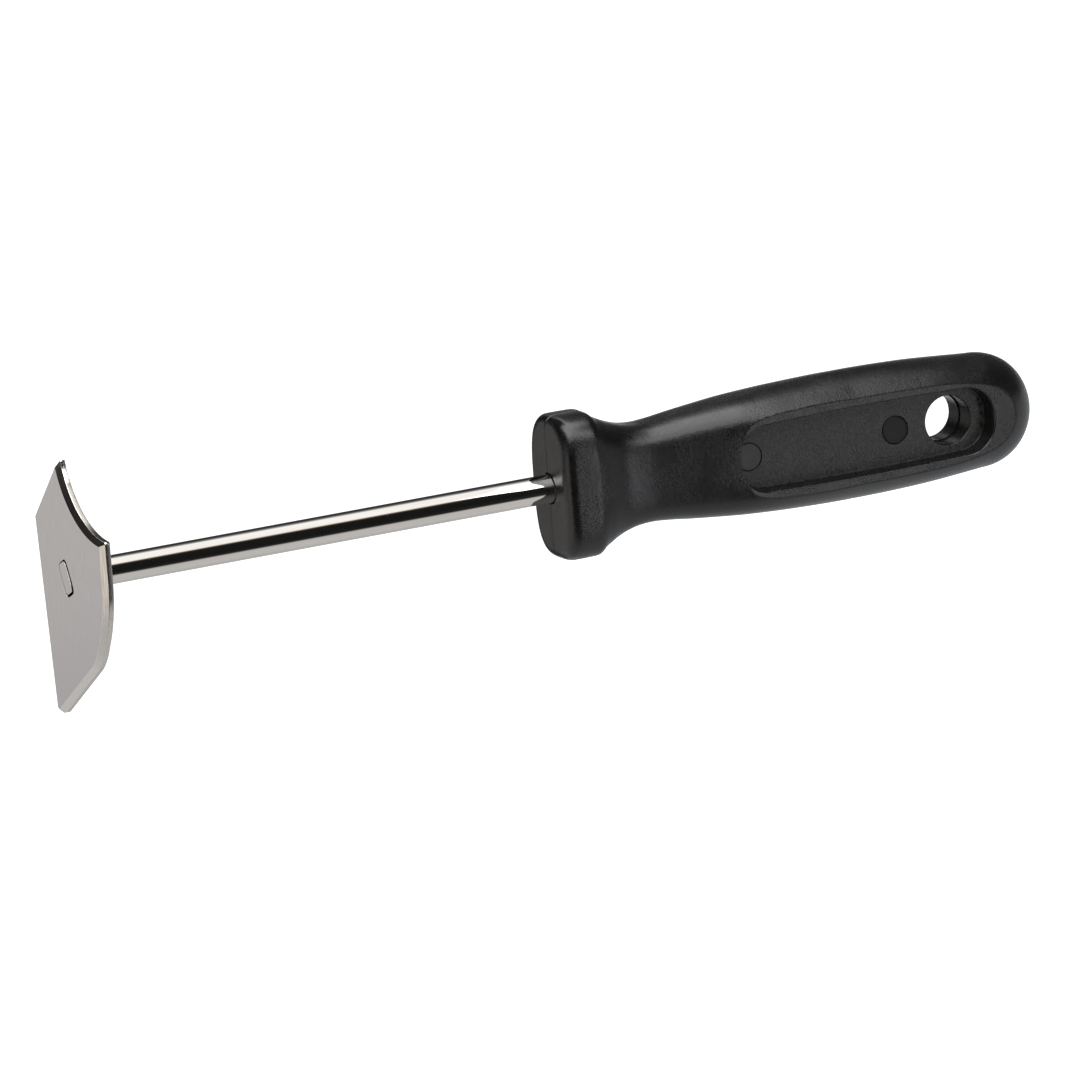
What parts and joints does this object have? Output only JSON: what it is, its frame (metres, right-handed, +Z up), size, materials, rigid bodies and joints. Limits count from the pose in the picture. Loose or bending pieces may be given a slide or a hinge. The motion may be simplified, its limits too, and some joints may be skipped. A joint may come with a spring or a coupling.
{
  "type": "paint scraper",
  "caption": "Long-shanked paint scraper: a bevelled profile blade riveted square across a plated round rod, in a moulded grip with side recesses and a hanging hole.",
  "frame": {"origin": "centre of the rod's riveted end, flush with the blade's front face", "axes": "+X along the rod from the blade to the handle's round end, +Z up the blade's tall side, +Y across the blade away from its hollow edge"},
  "size_m": [0.2566, 0.0361, 0.0631],
  "materials": {
    "blade_steel": "plated, with ground edges",
    "plated_steel": "bright plated",
    "handle_plastic": "satin, moulded",
    "pin_plastic": "satin, moulded"
  },
  "bodies": {
    "root": {"blade": "blade_steel", "rod": "plated_steel", "handle_half_near": "handle_plastic", "handle_half_far": "handle_plastic", "front_joining_pin": "pin_plastic", "rear_joining_pin": "pin_plastic"}
  },
  "joints": []
}
